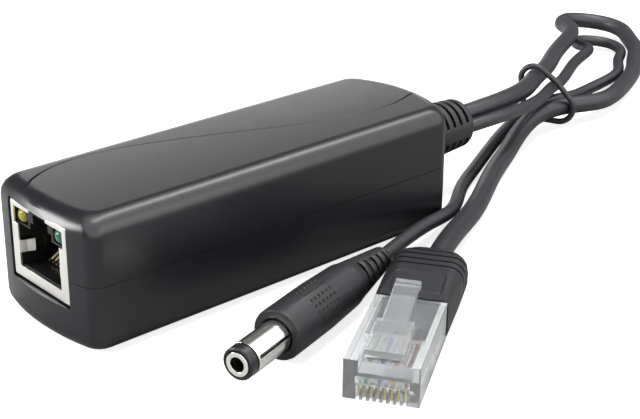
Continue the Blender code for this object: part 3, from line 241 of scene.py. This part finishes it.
def add_waves(tree, shader, place, spacing, height):
    """A soft bump whose waves are one spacing apart."""
    waves = add_node(tree, "ShaderNodeTexNoise", Vector=place, Scale=1.0 / spacing, Detail=2.0)
    bump = add_node(tree, "ShaderNodeBump", Height=waves.outputs["Fac"], Strength=1.0,
                    Distance=height)
    tree.links.new(bump.outputs["Normal"], shader.inputs["Normal"])


def add_tint(tree, shader, factor, base, shares):
    """Varies the base colour between a darker and a lighter share of itself by a factor."""
    darker, lighter = ((*(min(1.0, value * share) for value in base), 1.0) for share in shares)
    mix = add_node(tree, "ShaderNodeMix", {"data_type": "RGBA"}, i0=factor, i6=darker, i7=lighter)
    tree.links.new(mix.outputs[2], shader.inputs["Base Color"])


def grained(name, base, roughness, spacing, height, spread, tint=None, metallic=0.0,
            stretch=(1.0, 1.0, 1.0), **values):
    """A material with a grain of one spacing and height. Over thirty spacings its roughness varies
    by the spread, and its colour by the tint's shares where one is given."""
    material, tree, shader = new_material(name, base, roughness, metallic, **values)
    place = add_node(tree, "ShaderNodeTexCoord").outputs["Object"]
    stretched = add_node(tree, "ShaderNodeMapping", Vector=place, Scale=stretch).outputs["Vector"]
    add_waves(tree, shader, stretched, spacing, height)
    broad = add_node(tree, "ShaderNodeTexNoise", Vector=place, Scale=1.0 / (30 * spacing),
                     Detail=3.0)
    ranged = add_node(tree, "ShaderNodeMapRange", Value=broad.outputs["Fac"],
                      To_Min=roughness - spread, To_Max=roughness + spread)
    tree.links.new(ranged.outputs["Result"], shader.inputs["Roughness"])
    if tint:
        add_tint(tree, shader, broad.outputs["Fac"], base, tint)
    return material


def spark_eroded_abs(base, grain):
    """ABS moulded in a spark-eroded tool: a fine, even grain gives a soft satin sheen. The real
    grain is under 0.1 mm and is drawn coarser, so that it shows."""
    return grained("spark_eroded_abs", base, roughness=0.3, spacing=grain, height=0.012 * MM,
                   spread=0.04, tint=(0.9, 1.12), IOR=1.5)


def extruded_pvc(name, base):
    """Soft PVC jacket drawn off a die: faint waviness, and a silky highlight along the cord."""
    return grained(name, base, roughness=0.42, spacing=0.9 * MM, height=0.02 * MM, spread=0.06,
                   tint=(0.85, 1.15), IOR=1.48)


def moulded_pvc(name, base):
    """Soft PVC moulded over the cord ends: matter than the jacket, with a slightly uneven skin."""
    return grained(name, base, roughness=0.5, spacing=0.35 * MM, height=0.01 * MM, spread=0.05,
                   tint=(0.9, 1.12), IOR=1.48)


def tinned_steel(base):
    """Stamped steel strip with a tin finish: bright, with the strip's rolling marks along it. The
    marks are drawn coarser than the real ones, which are a few hundredths of a millimetre apart."""
    return grained("tinned_steel", base, roughness=0.35, spacing=0.12 * MM, height=0.002 * MM,
                   spread=0.08, metallic=0.7, stretch=(1.0, 0.08, 1.0))


def nickel_plate():
    """Turned brass with bright nickel: sharp reflections, softened a little by turning marks, which
    are drawn coarser than the real ones."""
    return grained("nickel_plated_brass", linear("#f7f5ef"), roughness=0.16, spacing=0.1 * MM,
                   height=0.0008 * MM, spread=0.05, metallic=1.0)


def gold_plate():
    """Phosphor bronze flashed with gold: pale yellow, and a little duller where it was bent."""
    return grained("gold_flash", linear("#ead9b0"), roughness=0.35, spacing=0.15 * MM,
                   height=0.001 * MM, spread=0.07, metallic=1.0)


def clear_polycarbonate():
    """Clear moulded polycarbonate: sharp highlights on its edges, and a faint cold haze inside. Its
    skin waves a little every few millimetres, where the melt shrank."""
    material, tree, shader = new_material("clear_polycarbonate", linear("#f4f7f8"), 0.04,
                                          IOR=1.585, Transmission_Weight=0.86)
    place = add_node(tree, "ShaderNodeTexCoord").outputs["Object"]
    add_waves(tree, shader, place, 2.5 * MM, 0.01 * MM)
    return material


def lamp_lens(name, base):
    """Tinted epoxy round a lamp: light goes in and comes back from the die cup behind it, which
    gives the lens a cloudy middle."""
    material, tree, shader = new_material(name, base, 0.22, IOR=1.55, Subsurface_Weight=0.5,
                                          Subsurface_Scale=0.8 * MM)
    place = add_node(tree, "ShaderNodeTexCoord").outputs["Object"]
    cloud = add_node(tree, "ShaderNodeTexNoise", Vector=place, Scale=1.0 / (0.8 * MM), Detail=2.0)
    add_tint(tree, shader, cloud.outputs["Fac"], base, (0.6, 1.4))
    return material


def plain_moulding(name, base, roughness):
    """A small hard moulding or coated part: nearly even, with a grain that breaks the shine."""
    return grained(name, base, roughness, spacing=0.3 * MM, height=0.004 * MM, spread=0.06,
                   tint=(0.8, 1.2))


# Pieces

def keep_piece(piece, material, slot, *replaced):
    """Gives a finished piece its material and body, and hides what it stands for. Its record slot
    is not used.
    """
    piece.data.materials.clear()
    piece.data.materials.append(material)
    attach(piece, BODY)
    if replaced:
        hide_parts(*replaced)
    return piece


def node_shape(node):
    """A CAD node's triangles as a merged bmesh with its flat faces whole again."""
    shape = bmesh.new()
    shape.from_mesh(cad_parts[node].data)
    bmesh.ops.remove_doubles(shape, verts=shape.verts, dist=MERGE_DISTANCE)
    bmesh.ops.dissolve_limit(shape, angle_limit=FLAT_ANGLE, verts=shape.verts, edges=shape.edges)
    return shape


def shape_object(name, shape):
    """A smoothly shaded object of a bmesh, which is used up."""
    mesh = bpy.data.meshes.new(name)
    shape.to_mesh(mesh)
    shape.free()
    mesh.shade_smooth()
    mesh.set_sharp_from_angle(angle=SHARP_ANGLE)
    piece = bpy.data.objects.new(name, mesh)
    bpy.context.scene.collection.objects.link(piece)
    return piece


def soften(piece, width):
    """Rounds the sharp edges and keeps the flat faces flat in the shading."""
    bevel = piece.modifiers.new("Softened edges", "BEVEL")
    bevel.width = width
    bevel.segments = 2
    bevel.limit_method = "ANGLE"
    bevel.angle_limit = ROUNDED_ANGLE
    weigh = piece.modifiers.new("Flat faces", "WEIGHTED_NORMAL")
    weigh.keep_sharp = True
    return piece


def finished_mesh(piece):
    """A piece's mesh with its modifiers applied."""
    view = bpy.context.evaluated_depsgraph_get()
    return bpy.data.meshes.new_from_object(piece.evaluated_get(view))


def carve(piece, cutter):
    """Takes a cutter's shape out of a piece. The skin left round the cuts shades as before."""
    uncut = bpy.data.objects.new("uncut", finished_mesh(piece))
    bpy.context.scene.collection.objects.link(uncut)
    cut = piece.modifiers.new("Carving", "BOOLEAN")
    cut.object = cutter
    cut.solver = "EXACT"
    skin = piece.modifiers.new("Skin", "DATA_TRANSFER")
    skin.object = uncut
    skin.use_loop_data = True
    skin.data_types_loops = {"CUSTOM_NORMAL"}
    skin.loop_mapping = "POLYINTERP_NEAREST"
    skin.use_max_distance = True
    skin.max_distance = SKIN_REACH
    carved = finished_mesh(piece)
    piece.modifiers.clear()
    piece.data = carved
    for helper in (cutter, uncut):
        bpy.data.objects.remove(helper)
    return piece


def finished_node(node, name, material, slot, edge=0.0):
    """A piece in a CAD node's shape, smoothly shaded, and softened where its edge has a radius."""
    piece = shape_object(name, node_shape(node))
    if edge:
        soften(piece, edge)
    return keep_piece(piece, material, slot, node)


def paint_nodes(material, nodes):
    """Gives CAD nodes that stay as they are their material."""
    for node in nodes:
        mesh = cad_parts[node].data
        mesh.materials.clear()
        mesh.materials.append(material)


def smooth_route(route):
    """Evenly spaced points on a natural cubic spline through the route's points, and its length."""
    knots = np.array(route, float) * MM
    gaps = np.linalg.norm(np.diff(knots, axis=0), axis=1)
    count = len(knots)
    system = np.eye(count)
    right = np.zeros((count, 3))
    for i in range(1, count - 1):
        system[i, i - 1:i + 2] = gaps[i - 1], 2 * (gaps[i - 1] + gaps[i]), gaps[i]
        right[i] = 6 * ((knots[i + 1] - knots[i]) / gaps[i]
                        - (knots[i] - knots[i - 1]) / gaps[i - 1])
    bends = np.linalg.solve(system, right)
    fine = []
    for i, gap in enumerate(gaps):
        for after in np.linspace(0, gap, STEPS_BETWEEN_KNOTS, endpoint=i == count - 2):
            before = gap - after
            fine.append(
                (bends[i] * before ** 3 + bends[i + 1] * after ** 3) / (6 * gap)
                + (knots[i] / gap - bends[i] * gap / 6) * before
                + (knots[i + 1] / gap - bends[i + 1] * gap / 6) * after)
    fine = np.array(fine)
    walked = np.concatenate([[0], np.cumsum(np.linalg.norm(np.diff(fine, axis=0), axis=1))])
    wanted = np.linspace(0, walked[-1], round(walked[-1] / ROUTE_SPACING) + 1)
    points = np.stack([np.interp(wanted, walked, fine[:, k]) for k in range(3)], axis=1)
    return points, float(walked[-1])


def round_cord(name, points, diameter, closed=False):
    """A cord as one curve with a round section."""
    curve = bpy.data.curves.new(name, "CURVE")
    curve.dimensions = "3D"
    curve.bevel_depth = diameter / 2
    curve.bevel_resolution = 6
    curve.use_fill_caps = not closed
    spline = curve.splines.new("POLY")
    spline.points.add(len(points) - 1)
    for target, point in zip(spline.points, points):
        target.co = (*point, 1.0)
    spline.use_smooth = True
    spline.use_cyclic_u = closed
    piece = bpy.data.objects.new(name, curve)
    bpy.context.scene.collection.objects.link(piece)
    return piece


# Operators

class SPLITTER_OT_stage(bpy.types.Operator):
    """Adds the white floor, the studio lamps and the camera"""
    bl_idname = "splitter.stage"
    bl_label = "Stage"

    def execute(self, context):
        settings = context.scene.splitter_stage
        context.scene.view_settings.view_transform = "Standard"
        self.add_camera(context)
        self.add_floor(settings.floor_size)
        self.add_world(context, settings.world_strength)
        for name, (place, size, power, aim) in LAMPS.items():
            self.add_lamp(context, name, place, size, getattr(settings, power), aim)
        return {"FINISHED"}

    def add_camera(self, context):
        data = bpy.data.cameras.new("camera")
        data.lens = CAMERA_LENS
        data.clip_start, data.clip_end = CAMERA_SEES
        camera = bpy.data.objects.new("camera", data)
        context.scene.collection.objects.link(camera)
        ahead = Vector((-math.sin(CAMERA_AZIMUTH) * math.cos(CAMERA_ELEVATION),
                        math.cos(CAMERA_AZIMUTH) * math.cos(CAMERA_ELEVATION),
                        -math.sin(CAMERA_ELEVATION)))
        right = ahead.cross(Vector((0, 0, 1))).normalized()
        up = right.cross(ahead)
        turn = Matrix((right, up, -ahead)).transposed() @ Matrix.Rotation(CAMERA_ROLL, 3, "Z")
        camera.matrix_world = Matrix.Translation(CAMERA_PLACE) @ turn.to_4x4()
        context.scene.camera = camera

    def add_floor(self, size):
        shape = bmesh.new()
        bmesh.ops.create_grid(shape, x_segments=1, y_segments=1, size=size / 2,
                              matrix=Matrix.Translation((0, 0, -FLOOR_DROP)))
        floor = shape_object("floor", shape)
        material, tree, shader = new_material("white_paper", linear("#d8d8d8"), 0.9,
                                              Specular_IOR_Level=0.0)
        paths, seen = self.seen_rays(tree)
        glow = add_node(tree, "ShaderNodeEmission", Color=(1, 1, 1, 1), Strength=FLOOR_GLOW)
        both = add_node(tree, "ShaderNodeAddShader", i0=shader.outputs[0], i1=glow.outputs[0])
        chosen = add_node(tree, "ShaderNodeMixShader", i0=seen.outputs[0], i1=shader.outputs[0],
                          i2=both.outputs[0])
        tree.links.new(chosen.outputs[0], tree.nodes["Material Output"].inputs["Surface"])
        floor.data.materials.append(material)

    def seen_rays(self, tree):
        """The light path, and a 1 for rays that see a thing straight or through clear plastic."""
        paths = add_node(tree, "ShaderNodeLightPath")
        seen = add_node(tree, "ShaderNodeMath", {"operation": "MAXIMUM"},
                        i0=paths.outputs["Is Camera Ray"], i1=paths.outputs["Is Transmission Ray"])
        return paths, seen

    def add_world(self, context, strength):
        world = bpy.data.worlds.new("studio")
        world.use_nodes = True
        tree = world.node_tree
        tree.nodes.clear()
        paths, seen = self.seen_rays(tree)
        way = add_node(tree, "ShaderNodeTexCoord").outputs["Generated"]
        height = add_node(tree, "ShaderNodeVectorMath", {"operation": "DOT_PRODUCT"}, i0=way,
                          i1=CEILING_LEAN)
        ceiling = add_node(tree, "ShaderNodeMapRange", {"interpolation_type": "SMOOTHSTEP"},
                           Value=height.outputs["Value"],
                           From_Min=CEILING_EDGE[0], From_Max=CEILING_EDGE[1],
                           To_Min=CEILING_LEVELS[0], To_Max=CEILING_LEVELS[1])
        mirrored = add_node(tree, "ShaderNodeMix", i0=paths.outputs["Is Glossy Ray"], i2=strength,
                            i3=ceiling.outputs["Result"])
        light = add_node(tree, "ShaderNodeMix", i0=seen.outputs[0], i2=mirrored.outputs[0], i3=1.0)
        sky = add_node(tree, "ShaderNodeBackground", Color=(1, 1, 1, 1), Strength=light.outputs[0])
        output = add_node(tree, "ShaderNodeOutputWorld")
        tree.links.new(sky.outputs[0], output.inputs["Surface"])
        context.scene.world = world

    def add_lamp(self, context, name, place, size, power, aim):
        data = bpy.data.lights.new(name, "AREA")
        data.shape = "RECTANGLE"
        data.size, data.size_y = size
        data.energy = power
        lamp = bpy.data.objects.new(name, data)
        context.scene.collection.objects.link(lamp)
        lamp.location = place
        lamp.visible_camera = False
        lamp.rotation_euler = (Vector(aim) - Vector(place)).to_track_quat("-Z", "Y").to_euler()


class SPLITTER_OT_housing(bpy.types.Operator):
    """Adds the two moulded shells with their satin finish"""
    bl_idname = "splitter.housing"
    bl_label = "Housing"

    def execute(self, context):
        settings = context.scene.splitter_housing
        abs_plastic = spark_eroded_abs(settings.shell_colour, settings.grain)
        for node, name in (("upper_shell", "top_cover"), ("lower_shell", "bottom_cover")):
            shape = node_shape(node)
            for vert in shape.verts:
                for height, sink in COVER_LEVELS:
                    if abs(vert.co.z - height) < LEVEL_TOLERANCE:
                        vert.co.z -= sink
            piece = soften(shape_object(name, shape), settings.edge_round)
            keep_piece(piece, abs_plastic, "shell_plastic", node)
        return {"FINISHED"}


class SPLITTER_OT_jack(bpy.types.Operator):
    """Adds the jack's shield, block, contacts and two lamps"""
    bl_idname = "splitter.jack"
    bl_label = "Jack"

    def execute(self, context):
        settings = context.scene.splitter_jack
        tin = tinned_steel(settings.shield_colour)
        finished_node("jack_shield", "jack_can", tin, "shield_steel", edge=0.05 * MM)
        block = plain_moulding("glass_filled_pbt", settings.insert_colour, 0.45)
        finished_node("jack_insert", "jack_block", block, "insert_plastic", edge=0.06 * MM)
        for node, name, base, slot in (
                ("led_yellow", "yellow_lamp", settings.yellow_lamp, "yellow_lens"),
                ("led_green", "green_lamp", settings.green_lamp, "green_lens")):
            finished_node(node, name, lamp_lens(name + "_epoxy", base), slot)
        gold = gold_plate()
        for number in range(1, 9):
            finished_node(f"jack_contact_{number}", f"jack_spring_{number}", gold, "gold_contacts")
        return {"FINISHED"}


class SPLITTER_OT_board(bpy.types.Operator):
    """Finishes the circuit board, its components and the inner leads"""
    bl_idname = "splitter.board"
    bl_label = "Board"

    def execute(self, context):
        for finish, hue, roughness, nodes in (
                ("solder_masked_laminate", "#1d5a33", 0.35, ["circuit_board"]),
                ("moulded_epoxy", "#1c1c1d", 0.5,
                 ["pulse_transformer", "bridge_rectifier_1", "bridge_rectifier_2",
                  "controller_chip", "optocoupler", "output_diode"]),
                ("sintered_ferrite", "#3b3b3e", 0.6, ["transformer_core", "output_inductor"]),
                ("polyester_tape", "#c9a742", 0.3, ["transformer_winding"]),
                ("shrunk_sleeve", "#20304e", 0.3, ["input_capacitor", "output_capacitor"]),
                ("dipped_ceramic", "#3d66a8", 0.3, ["safety_capacitor"]),
                ("inner_insulation", "#2a2a2c", 0.45,
                 ["lan_lead_1", "lan_lead_2", "lan_lead_3", "lan_lead_4", "dc_lead_1",
                  "dc_lead_2"])):
            paint_nodes(plain_moulding(finish, linear(hue), roughness), nodes)
        return {"FINISHED"}


class SPLITTER_OT_network_plug(bpy.types.Operator):
    """Adds the clear network plug with its wires, blades and boot"""
    bl_idname = "splitter.network_plug"
    bl_label = "Network plug"

    def execute(self, context):
        moulded = moulded_pvc("boot_pvc", context.scene.splitter_leads.relief_colour)
        finished_node("lan_plug_body", "plug_shell", clear_polycarbonate(), "clear_plastic",
                      edge=0.15 * MM)
        finished_node("lan_plug_boot", "plug_boot", moulded, "moulded_rubber", edge=0.12 * MM)
        gold = gold_plate()
        for number, hue in enumerate(WIRE_COLOURS, 1):
            wire = plain_moulding(f"wire_pvc_{number}", linear(hue), 0.35)
            finished_node(f"lan_plug_wire_{number}", f"plug_wire_{number}", wire, "wire_insulation")
            finished_node(f"lan_plug_contact_{number}", f"plug_blade_{number}", gold,
                          "gold_contacts")
        return {"FINISHED"}


class SPLITTER_OT_power_plug(bpy.types.Operator):
    """Adds the barrel power plug with its grip"""
    bl_idname = "splitter.power_plug"
    bl_label = "Power plug"

    def execute(self, context):
        nickel = nickel_plate()
        rubber = moulded_pvc("grip_pvc", context.scene.splitter_leads.relief_colour)
        acetal = plain_moulding("turned_acetal", linear("#17171a"), 0.35)
        grip = soften(shape_object("power_grip", node_shape("dc_plug_grip")), 0.12 * MM)
        keep_piece(carve(grip, self.dots()), rubber, "moulded_rubber", "dc_plug_grip")
        shape = node_shape("dc_plug_sleeve")
        plug = self.plug_place()
        bmesh.ops.transform(shape, verts=shape.verts,
                            matrix=plug @ Matrix.Rotation(SLOT_TURN, 4, "Y") @ plug.inverted())
        sleeve = soften(shape_object("power_sleeve", shape), 0.04 * MM)
        keep_piece(sleeve, nickel, "nickel_plate", "dc_plug_sleeve")
        finished_node("dc_plug_insulator", "power_collar", acetal, "insert_plastic",
                      edge=0.05 * MM)
        finished_node("dc_plug_socket", "power_socket", nickel, "nickel_plate", edge=0.04 * MM)
        return {"FINISHED"}

    def dots(self):
        """What the mould's pins and blade cut into the grip: rows of tapered dots and a line."""
        shape = bmesh.new()
        for column in DOT_COLUMNS:
            for row in DOT_ROWS:
                bmesh.ops.create_cone(shape, cap_ends=True, segments=8,
                                      radius1=(1 - DOT_TAPER) * DOT_RADIUS,
                                      radius2=(1 + DOT_TAPER) * DOT_RADIUS, depth=2 * DOT_DEPTH,
                                      matrix=self.on_grip(column, row))
        middle = (DOT_COLUMNS[0] + DOT_COLUMNS[-1]) / 2
        reach = DOT_COLUMNS[-1] - DOT_COLUMNS[0] + 2 * LINE_BEYOND
        blade = Matrix.Diagonal((LINE_WIDTH, reach, LINE_DEPTH, 1.0))
        bmesh.ops.create_cube(shape, size=1.0, matrix=self.on_grip(middle, LINE_ANGLE) @ blade)
        return shape_object("grip_dots", shape)

    def on_grip(self, along, angle):
        """A frame on the grip's surface with Z outwards and Y along the plug."""
        around = Matrix.Rotation(math.radians(90 - angle), 4, "Y")
        outwards = Matrix.Translation((0, 0, GRIP_RADIUS))
        return self.plug_place() @ Matrix.Translation((0, along, 0)) @ around @ outwards

    def plug_place(self):
        """The plug's own frame, with Y along its axis towards the lead."""
        return Matrix.Translation(GRIP_PLACE) @ Matrix.Rotation(GRIP_TURN, 4, "Z")


class SPLITTER_OT_leads(bpy.types.Operator):
    """Adds the network lead, the power lead, their tie and the strain relief"""
    bl_idname = "splitter.leads"
    bl_label = "Leads"

    def execute(self, context):
        settings = context.scene.splitter_leads
        jacket = extruded_pvc("extruded_pvc", settings.jacket_colour)
        relief = moulded_pvc("relief_pvc", settings.relief_colour)
        finished_node("cord_relief", "strain_relief", relief, "moulded_rubber", edge=0.1 * MM)
        leads = []
        for route, diameter in ((LAN_ROUTE, settings.lan_diameter),
                                (DC_ROUTE, settings.dc_diameter)):
            points, reach = smooth_route(route)
            points[:, 2] = np.maximum(points[:, 2], diameter / 2)
            leads.append((points, reach, diameter))
        tie = round_cord("lead_tie", self.taut_loop(leads), TIE_DIAMETER, closed=True)
        keep_piece(tie, jacket, "cord_jacket", "cord_tie")
        network = ["strain_relief", "lead_tie", "plug_shell", "plug_boot"]
        network += [f"plug_{kind}_{number}" for kind in ("wire", "blade") for number in range(1, 9)]
        power = ["power_grip", "power_sleeve", "power_collar", "power_socket"]
        names = (("network_lead", "lan_cord", network), ("power_lead", "dc_cord", power))
        for (name, node, pieces), (points, reach, diameter) in zip(names, leads):
            lead = keep_piece(round_cord(name, points, diameter), jacket, "cord_jacket", node)
        return {"FINISHED"}

    def taut_loop(self, leads):
        """The tie's centre line: a loop pulled round every stretch of lead that crosses its plane.
        A lead that crosses at a slant needs more room, and the tie lies a little off its skin."""
        across = TIE_ALONG.cross(Vector((0, 0, 1))).normalized()
        rise = across.cross(TIE_ALONG)
        sections = []
        for points, reach, diameter in leads:
            for first, second in zip(points, points[1:]):
                first, second = Vector(first) - TIE_PLACE, Vector(second) - TIE_PLACE
                before, after = first.dot(TIE_ALONG), second.dot(TIE_ALONG)
                if before * after <= 0 and first.length < TIE_REACH:
                    middle = first.lerp(second, before / (before - after))
                    slant = abs((second - first).normalized().dot(TIE_ALONG))
                    room = diameter / 2 / slant + TIE_SLACK + TIE_DIAMETER / 2
                    sections.append((middle, room))
        loop = []
        for step in range(TIE_STEPS):
            angle = 2 * math.pi * step / TIE_STEPS
            outward = across * math.cos(angle) + rise * math.sin(angle)
            middle, room = max(sections, key=lambda section: section[0].dot(outward) + section[1])
            loop.append(TIE_PLACE + middle + outward * room)
        return loop


class SPLITTER_PT_panel(bpy.types.Panel):
    """Lists the splitter's settings and its builders"""
    bl_label = "Splitter"
    bl_idname = "SPLITTER_PT_panel"
    bl_space_type = "VIEW_3D"
    bl_region_type = "UI"
    bl_category = "Splitter"

    def draw(self, context):
        for name, kind, builders in SECTIONS:
            box = self.layout.box()
            for key in kind.__annotations__:
                box.prop(getattr(context.scene, name), key)
            for builder in builders:
                box.operator(builder)


BUILDERS = (SPLITTER_OT_stage, SPLITTER_OT_housing, SPLITTER_OT_jack, SPLITTER_OT_board,
            SPLITTER_OT_network_plug, SPLITTER_OT_power_plug, SPLITTER_OT_leads)
SECTIONS = (
    ("splitter_stage", SplitterStageSettings, ("splitter.stage",)),
    ("splitter_housing", SplitterHousingSettings, ("splitter.housing", "splitter.board")),
    ("splitter_jack", SplitterJackSettings, ("splitter.jack",)),
    ("splitter_leads", SplitterLeadSettings,
     ("splitter.leads", "splitter.network_plug", "splitter.power_plug")),
)


def register():
    for name, kind, builders in SECTIONS:
        bpy.utils.register_class(kind)
        setattr(bpy.types.Scene, name, PointerProperty(type=kind))
    for builder in BUILDERS:
        bpy.utils.register_class(builder)
    bpy.utils.register_class(SPLITTER_PT_panel)


def unregister():
    bpy.utils.unregister_class(SPLITTER_PT_panel)
    for builder in reversed(BUILDERS):
        bpy.utils.unregister_class(builder)
    for name, kind, builders in reversed(SECTIONS):
        delattr(bpy.types.Scene, name)
        bpy.utils.unregister_class(kind)


def main():
    register()
    for builder in BUILDERS:
        group, name = builder.bl_idname.split(".")
        getattr(getattr(bpy.ops, group), name)()
    bpy.context.view_layer.update()


if __name__ == "__main__":
    main()
